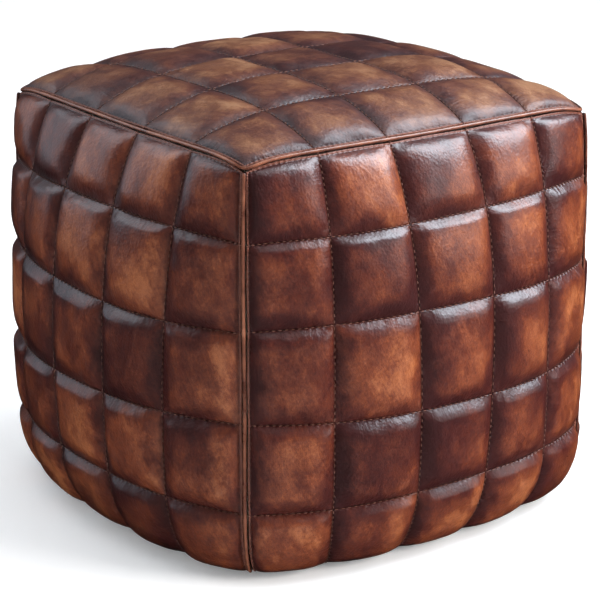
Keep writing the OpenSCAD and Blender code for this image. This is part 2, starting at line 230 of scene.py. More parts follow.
class Shader:
    """A node material, built by calls that each give a socket."""

    def __init__(self, name):
        self.material = bpy.data.materials.new(name)
        self.material.use_nodes = True
        self.tree = self.material.node_tree
        self.tree.nodes.clear()
        self.out = self.node("ShaderNodeOutputMaterial")
        self.bsdf = self.node("ShaderNodeBsdfPrincipled")
        self.tree.links.new(self.bsdf.outputs[0], self.out.inputs[0])
        self.position = self.node("ShaderNodeTexCoord").outputs["Object"]

    def node(self, kind, inputs=None, **settings):
        n = self.tree.nodes.new(kind)
        for key, value in settings.items():
            setattr(n, key, value)
        for key, value in (inputs or {}).items():
            self.put(n.inputs[key], value)
        return n

    def put(self, socket, value):
        if isinstance(value, bpy.types.NodeSocket):
            self.tree.links.new(value, socket)
        else:
            socket.default_value = value

    def math(self, operation, a, b=0.0):
        return self.node("ShaderNodeMath", {0: a, 1: b}, operation=operation).outputs[0]

    def split(self, vector):
        return self.node("ShaderNodeSeparateXYZ", {0: vector}).outputs

    def joined(self, x, y, z):
        return self.node("ShaderNodeCombineXYZ", {0: x, 1: y, 2: z}).outputs[0]

    def attribute(self, name):
        """The three numbers of a vector attribute."""
        return self.split(self.node("ShaderNodeAttribute", attribute_name=name).outputs["Vector"])

    def add(self, a, b):
        return self.math("ADD", a, b)

    def mul(self, a, b):
        return self.math("MULTIPLY", a, b)

    def edge(self, value):
        """Distance from the nearer end of 0 to 1."""
        return self.math("MINIMUM", value, self.math("SUBTRACT", 1.0, value))

    def varied(self, tone, value, amount):
        """The tone with a 0 to 1 value's swing about its middle added."""
        return self.add(tone, self.mul(self.add(value, -0.5), amount))

    def fade(self, value, low, high, to_low=0.0, to_high=1.0):
        n = self.node("ShaderNodeMapRange", {0: value, 1: low, 2: high, 3: to_low, 4: to_high},
                      interpolation_type="SMOOTHSTEP")
        return n.outputs[0]

    def noise(self, scale, detail=2.0, roughness=0.5, vector=None, distortion=0.0):
        n = self.node("ShaderNodeTexNoise", {
            "Vector": vector or self.position, "Scale": scale, "Detail": detail,
            "Roughness": roughness, "Distortion": distortion})
        return n.outputs[0]

    def cells(self, scale):
        n = self.node("ShaderNodeTexVoronoi", {"Vector": self.position, "Scale": scale},
                      feature="SMOOTH_F1")
        return n.outputs["Distance"]

    def scaled(self, vector, scale, turn=(0, 0, 0)):
        n = self.node("ShaderNodeMapping", {"Vector": vector, "Rotation": turn, "Scale": scale})
        return n.outputs[0]

    def ramp(self, value, stops):
        n = self.node("ShaderNodeValToRGB", {0: value})
        ramp = n.color_ramp
        while len(ramp.elements) < len(stops):
            ramp.elements.new(0.5)
        for element, (where, colour) in zip(ramp.elements, stops):
            element.position = where
            element.color = (*colour, 1)
        return n.outputs[0]

    def blend(self, amount, a, b, how="MIX"):
        n = self.node("ShaderNodeMix", {0: amount}, data_type="RGBA", blend_type=how)
        for socket, value in ((n.inputs[6], a), (n.inputs[7], b)):
            self.put(socket, value if isinstance(value, bpy.types.NodeSocket) else (*value, 1))
        return n.outputs[2]

    def bump(self, height, distance, strength=1.0, under=None):
        inputs = {"Height": height, "Distance": distance, "Strength": strength}
        if under:
            inputs["Normal"] = under
        return self.node("ShaderNodeBump", inputs).outputs[0]

    def finish(self, **inputs):
        for key, value in inputs.items():
            if isinstance(value, tuple) and len(value) == 3:
                value = (*value, 1)
            self.put(self.bsdf.inputs[key.replace("_", " ")], value)
        return self.material


def leather_grain(s, fine=0.00028):
    """Pores, pebbling and creases of waxed leather."""
    pebble = s.bump(s.cells(420), fine)
    pores = s.bump(s.noise(1300, 2.0, 0.6), fine * 0.5, 0.6, pebble)
    folds = s.noise(55, 4.0, 0.62, s.scaled(s.position, (1, 1, 0.55)), 0.6)
    return s.bump(folds, 0.0016, 0.55, pores)


def seam_gather(s, along, off):
    """Small rises between stitches, close beside the two seams at off 0 and 1."""
    rise = s.math("COSINE", s.mul(along, STITCHES * 2 * math.pi))
    near = s.fade(s.edge(off), 0.006, 0.035, 1.0, 0.0)
    return s.mul(rise, near)


def seam_creases(s, along, off, own):
    """Creases that run away from the seams at off 0 and 1, in places."""
    def spread(x, y):
        return s.joined(s.add(s.mul(along, x), s.mul(own, 17.0)), s.mul(off, y),
                        s.mul(own, 41.0))

    lines = s.noise(1.0, 3.0, 0.6, spread(24.0, 2.2))
    some = s.fade(s.noise(1.0, 2.0, 0.5, spread(3.2, 1.5)), 0.44, 0.62)
    near = s.fade(s.edge(off), 0.0, 0.28, 1.0, 0.0)
    return s.mul(s.mul(lines, near), some)


def patch_leather(name, stops, lift, painted_side_shade, rough_base, coat=0.35):
    """Two-tone leather, dark at each patch's edges and tan inside, with painted shade on one side.
    """
    s = Shader(name)
    u, v, own = s.attribute("patch")
    u2 = s.varied(u, s.noise(26, 3.0, 0.6), 0.34)
    v2 = s.varied(v, s.noise(34, 3.0, 0.6, s.scaled(s.position, (1, 1, 1), (0.7, 0.3, 1.1))),
                  0.34)
    inside = s.mul(*(s.fade(s.edge(w), 0.02, 0.26) for w in (u2, v2)))
    # Each patch has its own dye strength, and its own place where it is rubbed back
    own_noise = s.node("ShaderNodeTexWhiteNoise", {"W": own}, noise_dimensions="1D").outputs[0]
    strokes = s.noise(1.0, 4.0, 0.65, s.scaled(
        s.joined(s.add(u, s.mul(v, 0.35)), v, s.mul(own, 7.0)), (11.0, 2.4, 1.0)))
    brush = s.noise(1.0, 5.0, 0.7, s.scaled(
        s.joined(s.add(u, s.mul(v, 0.5)), s.add(v, s.mul(u, -0.2)), s.mul(own, 23.0)),
        (46.0, 6.0, 1.0)))
    cloud = s.noise(21, 5.0, 0.62, s.scaled(s.position, (1, 1, 0.8)))
    speck = s.noise(300, 4.0, 0.7)
    tone = s.add(s.mul(inside, 0.36), lift)
    tone = s.add(tone, s.mul(s.fade(cloud, 0.32, 0.68, -0.5, 0.5), 0.42))
    # The term with u is painted shade on one side of each patch and painted light on the other,
    # for slopes turned from and towards the lamps
    for value, amount in ((strokes, 0.34), (own_noise, 0.50), (brush, 0.40), (u, painted_side_shade),
                          (speck, 0.50), (s.noise(95, 4.0, 0.65), 0.42)):
        tone = s.varied(tone, value, amount)
    colour = s.ramp(tone, stops)
    # The seams keep the darkest dye
    rim = s.fade(s.math("MINIMUM", s.edge(u), s.edge(v)), 0.0, 0.055)
    colour = s.blend(s.add(s.mul(rim, 0.45), 0.55), stops[0][1], colour)
    # A turned edge beside the piping is lighter, partly rubbed wear and partly a painted highlight
    lip = s.attribute("lip")[0]
    colour = s.blend(s.mul(lip, s.add(s.mul(cloud, 0.5), 0.5)), colour, (0.20, 0.060, 0.032))
    rough = s.add(s.mul(s.noise(60, 3.0, 0.6), 0.22), s.mul(speck, 0.12))
    # The leather rises between one stitch and the next
    gathers = s.add(seam_gather(s, u, v), seam_gather(s, v, u))
    folds = s.bump(s.add(seam_creases(s, u, v, own), seam_creases(s, v, u, own)), 0.0016, 0.6,
                   s.bump(brush, 0.00025, 0.5, leather_grain(s)))
    return s.finish(Base_Color=colour, Roughness=s.add(s.add(rough, rough_base), s.mul(lip, 0.2)),
                    Normal=s.bump(gathers, 0.0004, 0.7, folds), Specular_IOR_Level=0.6,
                    Coat_Weight=coat, Coat_Roughness=0.25)


BURGUNDY = (0.034, 0.0066, 0.0066)
FRONT_STOPS = [(0.0, BURGUNDY), (0.22, (0.052, 0.0095, 0.0072)), (0.45, (0.088, 0.0170, 0.0082)),
               (0.70, (0.160, 0.0360, 0.0118)), (1.0, (0.30, 0.092, 0.030))]
TOP_STOPS = [(0.0, (0.026, 0.0080, 0.0090)), (0.25, (0.048, 0.0140, 0.0125)),
             (0.5, (0.092, 0.0285, 0.0175)), (0.75, (0.160, 0.0610, 0.0290)),
             (1.0, (0.27, 0.130, 0.066))]


def cloth_material(name, colour, weave, rough=0.85, contrast=0.25):
    """Plain weave: two crossed sets of threads, with a little colour drift."""
    s = Shader(name)
    x, y, z = s.split(s.position)
    across = s.math("SINE", s.mul(x, weave))
    along = s.math("SINE", s.mul(s.add(y, z), weave))
    threads = s.mul(s.add(s.mul(across, along), 1.0), 0.5)
    fuzz = s.noise(weave * 0.4, 3.0, 0.7)
    drift = s.noise(14, 4.0, 0.6)
    shade = s.add(s.mul(threads, contrast), s.mul(drift, contrast))
    dark = tuple(c * 0.55 for c in colour)
    light = tuple(min(1.0, c * 1.25) for c in colour)
    base = s.ramp(shade, [(0.0, dark), (2 * contrast, light)])
    return s.finish(Base_Color=base, Roughness=rough,
                    Normal=s.bump(s.add(threads, s.mul(fuzz, 0.6)), 0.0002, 0.7))


def fibre_material(name, colour):
    s = Shader(name)
    hair = s.noise(90, 8.0, 0.75, distortion=2.5)
    base = s.ramp(hair, [(0.25, tuple(c * 0.7 for c in colour)), (0.75, colour)])
    return s.finish(Base_Color=base, Roughness=0.95, Sheen_Weight=0.3,
                    Normal=s.bump(hair, 0.002, 0.8))


def piping_material(name, wear_and_light_bias):
    """Dark leather, lighter along its crest: partly rubbed wear, partly a painted highlight."""
    s = Shader(name)
    rub = s.noise(48, 4.0, 0.65)
    crest = s.attribute("patch")[0]
    # The crest is lightened partly for wear and partly as a painted highlight
    worn_and_highlit = s.fade(s.add(s.mul(crest, 0.6), s.mul(rub, 0.6)), 0.3 - wear_and_light_bias, 0.95 - wear_and_light_bias)
    base = s.ramp(worn_and_highlit, [(0.0, (0.026, 0.009, 0.008)), (0.45, (0.09, 0.027, 0.016)),
                         (0.8, (0.21, 0.072, 0.037)), (1.0, (0.38, 0.155, 0.085))])
    bump = s.bump(s.noise(240, 3.0, 0.6), 0.0003, 0.6)
    return s.finish(Base_Color=base, Roughness=s.add(s.mul(rub, 0.18), 0.2), Normal=bump,
                    Specular_IOR_Level=0.6, Coat_Weight=0.35, Coat_Roughness=0.18)


def thread_material(name, colour):
    s = Shader(name)
    twist = s.noise(2600, 2.0, 0.6)
    base = s.ramp(twist, [(0.3, tuple(c * 0.5 for c in colour)), (0.7, colour)])
    return s.finish(Base_Color=base, Roughness=0.6, Normal=s.bump(twist, 0.0001, 0.6))


def metal_material(name):
    s = Shader(name)
    tarnish = s.noise(160, 5.0, 0.65)
    base = s.ramp(tarnish, [(0.3, (0.16, 0.11, 0.05)), (0.65, (0.42, 0.31, 0.15))])
    return s.finish(Base_Color=base, Metallic=1.0,
                    Roughness=s.add(s.mul(tarnish, 0.35), 0.2),
                    Normal=s.bump(s.noise(900, 3.0, 0.6), 0.00008, 0.5))


FRONT_LEATHER = patch_leather("antique_leather_side", FRONT_STOPS, 0.19, 0.38, 0.17)
TOP_LEATHER = patch_leather("antique_leather_top", TOP_STOPS, 0.27, 0.10, 0.30, 0.20)
# Rim and corner piping are copies of one material whose crest lightening is tuned apart for the
# light each gets: painted light and shade
PIPING_RIM = piping_material("piping_leather_rim", -0.08)
PIPING_CORNER = piping_material("piping_leather_corner", -0.10)
THREAD = thread_material("waxed_thread", (0.19, 0.080, 0.055))
BASE_CLOTH = cloth_material("black_base_cloth", (0.040, 0.040, 0.043), 5200, 0.8, 0.25)
TAPE = cloth_material("black_zip_tape", (0.018, 0.018, 0.02), 7000, 0.7, 0.3)
COTTON = cloth_material("unbleached_cotton", (0.62, 0.54, 0.42), 4200, 0.9, 0.2)
BAG_COTTON = cloth_material("bag_cotton", (0.66, 0.62, 0.53), 3800, 0.9, 0.2)
CORD = cloth_material("cotton_cord", (0.6, 0.54, 0.43), 2600, 0.9, 0.3)
FIBRE = fibre_material("white_fibre", (0.82, 0.81, 0.77))
BRASS = metal_material("dull_brass")

# ---- Leather panels ----


def spaced(count):
    """Places 0 to 1 along a patch, closer together beside its seams."""
    t = np.linspace(0, 1, count + 1)
    return t - 0.075 * np.sin(2 * np.pi * t)


STEP = np.concatenate([i + spaced(K)[:-1] for i in range(N)] + [[float(N)]])
X, Y = np.meshgrid(STEP, STEP, indexing="ij")


def bevel(d, straight=6.0, ease=6.5):
    """Rise from a seam, 0 to 1: a straight slope that eases to nothing at d mm."""
    bend = np.clip(d - straight, 0, ease)
    return (np.minimum(d, straight) + bend - bend * bend / (2 * ease)) / (straight + ease / 2)


def stuffed(panel):
    """The panel as sewn: seams low, patches standing out, no two quite alike."""
    k = PANELS.index(panel)
    top = panel == "top"
    sh = share(k, X, Y)
    s, t = sh[..., 0], sh[..., 1]
    i, j = np.clip(np.floor(X), 0, N - 1), np.clip(np.floor(Y), 0, N - 1)
    a, b = X - i, Y - j
    own = np.sin(i * 12.9 + j * 78.2 + k * 37.7) * 43758.5453
    own = own - np.floor(own)
    if top:
        puff = (4.0 + 1.4 * own) * (1 - np.abs(2 * a - 1) ** 4.4) * (1 - np.abs(2 * b - 1) ** 4.4)
    else:
        # Each side patch turns out sharply below its upper seam and eases in at its lower one
        height = 6.9 + 1.6 * own
        below, above = 1 - np.abs(1 - 2 * b) ** 3.4, bevel((1 - b) * PATCH)
        above = np.where(j == N - 1, 1 - np.abs(2 * b - 1) ** 3.0, above)
        share_up = np.clip((b - 0.3) / 0.4, 0, 1)
        share_up = share_up * share_up * (3 - 2 * share_up)
        puff = height * (below * (1 - share_up) + above * share_up)
        puff *= 1 - np.abs(2 * a - 1) ** (3.6 + 0.8 * share_up)
    puff += 0.7 * wave(X, Y, 3 + k, 4.2) * np.minimum(1, puff / 5)
    inside = np.minimum(1, puff / 6)
    points = seam_point(top, s, t) + puff[..., None] * seam_normal(top, s, t)
    points += (0.12 * wave(X, Y, 9 + k, 17) * inside)[..., None] * seam_normal(top, s, t)
    return points


def simulated(panel, points):
    """Presses the stuffing outward against leather that is sewn down along its seams."""
    size = len(STEP)
    cloth = make("cloth_" + panel, points.reshape(-1, 3), grid_faces(size, size))
    on_seam = (np.abs(X - np.round(X)) < 1e-6) | (np.abs(Y - np.round(Y)) < 1e-6)
    group = cloth.vertex_groups.new(name="sewn")
    group.add([int(n) for n in np.flatnonzero(on_seam.ravel())], 1.0, "REPLACE")
    m = add_modifier(cloth, "CLOTH")
    c = m.settings
    c.quality = 6
    c.mass = 0.3
    c.tension_stiffness = c.compression_stiffness = 80
    c.shear_stiffness = 30
    c.bending_stiffness = 30.0
    c.air_damping = 3
    c.vertex_group_mass = "sewn"
    c.use_pressure = True
    c.uniform_pressure_force = 1.6
    c.shrink_min = -0.008
    c.effector_weights.gravity = 0
    m.collision_settings.use_collision = False
    scene = bpy.context.scene
    m.point_cache.frame_start, m.point_cache.frame_end = 1, FRAMES
    for n in range(FRAMES):
        scene.frame_set(n + 1)
    done = cloth.evaluated_get(bpy.context.evaluated_depsgraph_get())
    co = np.zeros(size * size * 3, np.float32)
    done.data.vertices.foreach_get("co", co)
    scene.frame_set(1)
    bpy.data.objects.remove(cloth)
    moved = co.reshape(size, size, 3) / MM - points
    # Leather bends in broader folds than these cells do
    for axis in (0, 1):
        moved = (np.roll(moved, 1, axis) + 2 * moved + np.roll(moved, -1, axis)) / 4
    moved[on_seam] = 0
    length = np.linalg.norm(moved, axis=-1, keepdims=True)
    most = 1.5 if panel == "top" else 2.6
    moved *= np.minimum(1, most / np.maximum(length, 1e-6))
    return points + moved


SURFACE = {}
for panel in PANELS:
    SURFACE[panel] = stuffed(panel)
    SURFACE[panel] = simulated(panel, SURFACE[panel])


def doubled(p):
    """Puts a point between each two rows of points, on a smooth curve."""
    padded = np.concatenate([2 * p[:1] - p[1:2], p, 2 * p[-1:] - p[-2:-1]])
    between = (9 * (padded[1:-2] + padded[2:-1]) - padded[:-3] - padded[3:]) / 16
    out = np.empty((2 * len(p) - 1,) + p.shape[1:])
    out[::2], out[1::2] = p, between
    return out


def inward(v, n):
    return unit(v - (v * n).sum(-1, keepdims=True) * n)


def puckers(panel, x, y, a, b):
    """Small gathers that run away from each seam, stronger in some places than others."""
    k = PANELS.index(panel)
    total = np.zeros_like(a)
    for n, (run, off, line) in enumerate(((x, b, np.floor(y)), (x, 1 - b, np.floor(y) + 1),
                                          (y, a, np.floor(x)), (y, 1 - a, np.floor(x) + 1))):
        seed = line * 7.3 + k * 3.1 + n // 2 * 11
        phase = PATCH * run / 9.5 * 2 * np.pi
        phase = phase + 2.2 * np.sin(run * 5.3 + seed) + 1.3 * np.sin(run * 13.1 + 2 * seed)
        strength = np.clip(0.35 + 0.65 * np.sin(run * 3.7 + seed * 1.9)
                           + 0.35 * np.sin(run * 9.1 + seed), 0, 1.2)
        fade = np.exp(-off * PATCH / 8.5) * (1 - np.exp(-off * PATCH / 1.6))
        total += strength * fade * np.sin(phase)
    return total


# Rings of a turned edge: rise and inset from the patch's edge, first plain, then beside piping
LIP = ((-0.15, 0.0, 0.55, -0.5), (-0.4, 0.0, 0.85, -1.2), (-0.8, 0.03, 0.6, -1.95),
       (-1.3, 0.1, -0.2, -2.35), (-2.2, 0.35, -1.7, -2.3), (-3.6, 0.9, -3.4, -1.8))


def patch_shell(panel, i, j):
    """One patch, its edges turned in along the seams."""
    k = PANELS.index(panel)
    top = panel == "top"
    p = SURFACE[panel][i * K:(i + 1) * K + 1, j * K:(j + 1) * K + 1]
    p = doubled(doubled(p).swapaxes(0, 1)).swapaxes(0, 1)
    t = doubled(spaced(K))
    a, b = np.meshgrid(t, t, indexing="ij")
    x, y = np.clip(i + a, i + 1e-6, i + 1 - 1e-6), np.clip(j + b, j + 1e-6, j + 1 - 1e-6)
    sh = share(k, x, y)
    normal = seam_normal(top, sh[..., 0], sh[..., 1])
    p = p + (0.24 * puckers(panel, x, y, a, b))[..., None] * normal

    slit, piped = 0.14, 4.5      # gap left between an edge and its seam
    gap = {"w": piped if i == 0 else slit, "e": piped if i == N - 1 else slit,
           "s": (piped if top else 0.0) if j == 0 else slit, "n": piped if j == N - 1 else slit}
    # Each edge moves in from the seam, and the leather beside it follows less and less
    for side, d in gap.items():
        far = np.minimum(1, {"w": a, "e": 1 - a, "s": b, "n": 1 - b}[side] * PATCH / (3 * d + 2))
        edge = {"w": (slice(0, 1), slice(None)), "e": (slice(-1, None), slice(None)),
                "s": (slice(None), slice(0, 1)), "n": (slice(None), slice(-1, None))}[side]
        step = {"w": p[1:2] - p[:1], "e": p[-2:-1] - p[-1:],
                "s": p[:, 1:2] - p[:, :1], "n": p[:, -2:-1] - p[:, -1:]}[side]
        p = p + (d * (1 - far) ** 1.5)[..., None] * inward(step, normal[edge])
    m = FINE
    edge = ([(q, 0) for q in range(m)] + [(m, q) for q in range(m)]
            + [(q, m) for q in range(m, 0, -1)] + [(0, q) for q in range(m, 0, -1)])
    ex, ey = np.array([e[0] for e in edge]), np.array([e[1] for e in edge])
    rim, n_rim = p[ex, ey], normal[ex, ey]
    towards = inward(p[m // 2, m // 2] - rim, n_rim)
    # Beside piping the turned edge makes a small lip, elsewhere it goes straight down
    lip = np.zeros(len(edge))
    lip[(ex == 0) & (i == 0) | (ex == m) & (i == N - 1) | (ey == m) & (j == N - 1)
        | (ey == 0) & (j == 0) & top] = 1.0
    lip = (np.roll(lip, 1) + 2 * lip + np.roll(lip, -1))[:, None] / 4
    rise = lip * np.where((ey == m) & (not top), 0.35, 1.0)[:, None]
    turns = [rim + ((1 - lip) * plain_up + rise * lip_up) * n_rim
             + ((1 - lip) * plain_in + lip * lip_in) * towards
             for plain_up, plain_in, lip_up, lip_in in LIP]
    points = np.concatenate([p.reshape(-1, 3)] + turns)
    count, e = (m + 1) ** 2, len(edge)
    faces = grid_faces(m + 1, m + 1)
    rings = [(ex * (m + 1) + ey).tolist()] + [
        [count + r * e + n for n in range(e)] for r in range(len(turns))]
    for ring, below in zip(rings, rings[1:]):
        for n in range(e):
            q = (n + 1) % e
            faces.append([ring[n], below[n], below[q], ring[q]])
    own = (i * N + j + k * N * N) * 0.618 % 1 + 0.01   # a number for each patch
    coords = np.stack([a.ravel(), b.ravel(), np.full(count, own)], -1)
    lips = np.zeros((len(points), 3))
    for ring, strength in zip(rings, (0.5, 0.9, 1.0, 1.0, 0.6, 0.2, 0.0)):
        lips[ring, 0] = strength * lip[:, 0]
    return (turned(points, panel), faces,
            np.concatenate([coords] + [coords[rings[0]]] * len(turns)), lips)


def row_piece(panel, row):
    j = row - 1 if panel == "top" else N - row
    points, faces, coords, lips, at = [], [], [], [], 0
    for i in range(N):
        p, f, c, lip = patch_shell(panel, i, j)
        points.append(p)
        coords.append(c)
        lips.append(lip)
        faces += [[n + at for n in face] for face in f]
        at += len(p)
    piece = make(f"leather_{panel}_{row}", np.concatenate(points), faces,
                 TOP_LEATHER if panel == "top" else FRONT_LEATHER)
    set_vector(piece, "patch", np.concatenate(coords))
    set_vector(piece, "lip", np.concatenate(lips))
    add_modifier(piece, "SOLIDIFY", thickness=SKIN * MM, offset=-1)
    place(piece, "patch_leather", f"{panel}_patch_row_{row}")


for panel in PANELS:
    for row in range(1, N + 1):
        row_piece(panel, row)

# ---- Stitches ----


def capsule(r, around=6):
    """A stitch of unit length along x, thinner towards its ends."""
    rings = [(-0.5, 0.35), (-0.42, 0.8), (-0.2, 1.0), (0.2, 1.0), (0.42, 0.8), (0.5, 0.35)]
    angles = np.arange(around) * 2 * np.pi / around
    points = [[x, r * f * math.cos(q), r * f * math.sin(q)] for x, f in rings for q in angles]
    return np.array(points), tube_faces(len(rings), around, False)


def stitches(panel):
    """Even stitches along each seam between patches, the same number on every patch."""
    k = PANELS.index(panel)
    top = panel == "top"
    shape, shape_faces = capsule(0.5)
    places = (np.arange(N * STITCHES) + 0.5) / STITCHES
    half = 0.25 / STITCHES
    points, faces = [], []
    for seam in range(1, N):
        for across in (True, False):
            ends = []
            for run in (places - half, places + half):
                x, y = (run, np.full_like(run, seam)) if across else (np.full_like(run, seam), run)
                sh = share(k, x, y)
                ends.append(seam_point(top, sh[:, 0], sh[:, 1]))
                up = seam_normal(top, sh[:, 0], sh[:, 1])
            way = ends[1] - ends[0]
            aside = unit(np.cross(up, way))
            way = way + 0.28 * np.sin(places * 79 + seam)[:, None] * aside
            aside = unit(np.cross(up, way))
            lift = 0.55 + 0.1 * np.sin(places * 47)
            centre = (ends[0] + ends[1]) / 2 + lift[:, None] * up
            made = (centre[:, None] + shape[None, :, :1] * way[:, None]
                    + shape[None, :, 1:2] * aside[:, None] + shape[None, :, 2:] * up[:, None])
            for stitch in made:
                at_point = len(points) * len(shape)
                faces += [[q + at_point for q in f] for f in shape_faces]
                points.append(stitch)
    piece = make("stitches_" + panel, turned(np.concatenate(points), panel), faces, THREAD)
    place(piece, "thread", panel + "_seam_thread")


for panel in PANELS:
    stitches(panel)

# ---- Piping ----

CORD_R = 1.15
BEAD_R = CORD_R + 0.6  # the cord in thin leather


def welt_section(r):
    """A bead on two leaves that go down into the seam."""
    angles = np.radians(np.linspace(-62, 242, 17))
    bead = [[r * math.cos(q), r * math.sin(q)] for q in angles]
    legs_left = [[-0.75, -r * 1.05], [-0.7, -r - 2.6]]
    legs_right = [[0.7, -r - 2.6], [0.75, -r * 1.05]]
    return np.array(bead + legs_left + legs_right)


def welt_piece(name, path, ups, loop, node, material):
    """Piping with the small unevenness of a hand-sewn one."""
    count = len(path)
    dist = np.concatenate([[0], np.cumsum(np.linalg.norm(np.diff(path, axis=0), axis=1))])
    sections = []
    for d in dist:
        r = BEAD_R * (1 + 0.035 * math.sin(d * 0.21) + 0.03 * math.sin(d * 0.083 + 1))
        stray = [0.25 * math.sin(d * 0.031 + 2), 0.2 * math.sin(d * 0.057)]
        sections.append(welt_section(r) + stray)
    around = len(sections[0])
    points = sweep(path, ups, np.array(sections), loop)
    piece = make(name, points, tube_faces(count, around, loop), material)
    height = np.array(sections)[:, :, 1] / WELT_R * 0.5 + 0.5
    run = np.broadcast_to(dist[:, None] / PATCH, height.shape)
    set_vector(piece, "patch", np.stack([height, run, np.zeros_like(run)], -1).reshape(-1, 3))
    add_modifier(piece, "SUBSURF", levels=1, render_levels=1)
    place(piece, "piping_leather", node)


def rim_path(steps=72):
    """The piped edge of the top, once round, rounded a little at each corner."""
    s = (np.arange(steps) + 0.5) / steps
    one = np.ones_like(s)
    line = side_seam(s, one)
    out = unit(seam_normal(False, s, one) + turned(seam_normal(True, s, 0 * one), "top"))
    path, ups = [], []
    for panel in PANELS[1:]:
        path.append(turned(line, panel))
        ups.append(turned(out, panel))
    path, ups = np.concatenate(path), np.concatenate(ups)
    for _ in range(2):
        path = (np.roll(path, 1, 0) + 2 * path + np.roll(path, -1, 0)) / 4
    for _ in range(6):
        ups = unit(np.roll(ups, 1, 0) + 2 * ups + np.roll(ups, -1, 0))
    return path + 0.5 * ups, ups


def corner_path(steps=90):
    """The seam between the front and left panels, from the floor to the rim."""
    w = np.linspace(0.012, 0.996, steps)
    s = np.zeros_like(w)
    line = side_seam(s, w)
    way = unit(np.gradient(line, axis=0))
    across = np.broadcast_to(np.array([-1, 1, 0]) / math.sqrt(2), way.shape)
    out = np.cross(way, across)
    return line + 1.2 * out, out


path, ups = rim_path()
welt_piece("piping_top", path, ups, True, "top_welt", PIPING_RIM)
line, out = corner_path()
for name, panel in (("front_left", "front"), ("front_right", "right"),
                    ("rear_right", "rear"), ("rear_left", "left")):
    welt_piece("piping_" + name, turned(line, panel), turned(out, panel), False,
               name + "_welt", PIPING_CORNER)


angles = np.arange(8) * 2 * np.pi / 8
CORD_SECTION = CORD_R * np.stack([np.cos(angles), np.sin(angles)], -1)
cord = make("cord_top", sweep(path, ups, CORD_SECTION, True),
            tube_faces(len(path), len(angles), True), CORD)
place(cord, "piping_cord", "top_welt_cord")
line, out = line[2:-2], out[2:-2]
points, faces = [], []
for panel in PANELS[1:]:
    faces += tube_faces(len(line), len(angles), False, at=len(points) * len(line) * len(angles))
    points.append(sweep(turned(line, panel), turned(out, panel), CORD_SECTION))
cords = make("cord_corners", np.concatenate(points), faces, CORD)
place(cords, "piping_cord", "corner_welt_cords")

# ---- Inside: wadding, backing cloth, bag and filling ----


BACKING = 5.0, 6.3    # depth of the backing cloth's two faces below the seams
BAG = 17.2, 18.2      # depth of the inner bag's two faces
FILLING = 19.5        # depth of the outside of the filling


def slab(upper, lower, at=0):
    """A closed sheet between two grids of points, and its faces."""
    rows, cols = upper.shape[:2]
    count = rows * cols
    faces = grid_faces(rows, cols, at)
    faces += [f[::-1] for f in grid_faces(rows, cols, at + count)]
    edge = ([x * cols for x in range(rows - 1)]
            + [(rows - 1) * cols + y for y in range(cols - 1)]
            + [x * cols + cols - 1 for x in range(rows - 1, 0, -1)]
            + [y for y in range(cols - 1, 0, -1)])
    e = len(edge)
    for n in range(e):
        a, b = edge[n] + at, edge[(n + 1) % e] + at
        faces.append([b, a, a + count, b + count])
    return np.concatenate([upper.reshape(-1, 3), lower.reshape(-1, 3)]), faces


def wadding(panel):
    """The loose fibre of each patch, clear of its leather and its seams."""
    k = PANELS.index(panel)
    top = panel == "top"
    pick = np.arange(3, K - 2, 2)
    points, faces, at = [], [], 0
    for i in range(N):
        for j in range(N):
            x, y = np.meshgrid(i + spaced(K)[pick], j + spaced(K)[pick], indexing="ij")
            sh = share(k, x, y)
            n = seam_normal(top, sh[..., 0], sh[..., 1])
            skin = SURFACE[panel][np.ix_(i * K + pick, j * K + pick)]
            p, f = slab(skin - 3.6 * n, seam_point(top, sh[..., 0], sh[..., 1]) - 4.0 * n, at)
            points.append(p)
            faces += f
            at += len(p)
    piece = make("wadding_" + panel, turned(np.concatenate(points), panel), faces, FIBRE)
    place(piece, "padding_fibre", panel + "_padding")


def backing(panel):
    """The cloth that a panel is sewn on to."""
    k = PANELS.index(panel)
    top = panel == "top"
    x = np.linspace(0.1, N - 0.1, 31)
    x, y = np.meshgrid(x, x if top else np.linspace(0.05, N - 0.1, 31), indexing="ij")
    sh = share(k, x, y)
    n = seam_normal(top, sh[..., 0], sh[..., 1])
    p = seam_point(top, sh[..., 0], sh[..., 1])
    points, faces = slab(p - BACKING[0] * n, p - BACKING[1] * n)
    piece = make("backing_" + panel, turned(points, panel), faces, COTTON)
    place(piece, "backing_cotton", panel + "_backing")


for panel in PANELS:
    wadding(panel)
    backing(panel)


def stuffing(d, around=14):
    """Rings of the stuffing at depth d, from the middle of its floor to its top."""
    m = np.arange(around) / around
    rings = []

    def round_four(p):
        return np.concatenate([turned(p, q) for q in PANELS[1:]])

    def side(w, r=1.0):
        p = side_seam(m, np.full_like(m, w))
        f = (corner(np.float64(w)) - d) / corner(np.float64(w)) * r
        low, high = BAG_FLOOR + d - BAG_DEPTH, RIM - DROOP - d - 4
        z = low + (high - low) * (level(w) - FOOT) / (RIM - FOOT)
        return round_four(np.stack([p[:, 0] * f, p[:, 1] * f, np.full_like(m, z)], -1))

    for r in (0.15, 0.4, 0.7, 0.9):
        rings.append(side(0.0, r))
    for w in [0, 0.01, 0.03, 0.07, 0.12, 0.18, *np.linspace(0.26, 0.9, 10), 0.95, 0.985]:
        rings.append(side(float(w)))
    for r in (0.93, 0.8, 0.62, 0.42, 0.2):
        s = (1 + r * (2 * m - 1)) / 2
        p = top_seam(s, np.full_like(m, (1 - r) / 2))
        rings.append(round_four(p - [0, 0, d + 4]))
    return rings


def revolve(rings):
    around = len(rings[0])
    faces = tube_faces(len(rings), around, False)
    return np.concatenate(rings), [f[::-1] for f in faces]


points, faces = revolve(stuffing(FILLING))
filling = make("fibre_filling", points, faces, FIBRE)
add_modifier(filling, "SUBSURF", levels=1, render_levels=1)
place(filling, "filling_fibre", "filling")

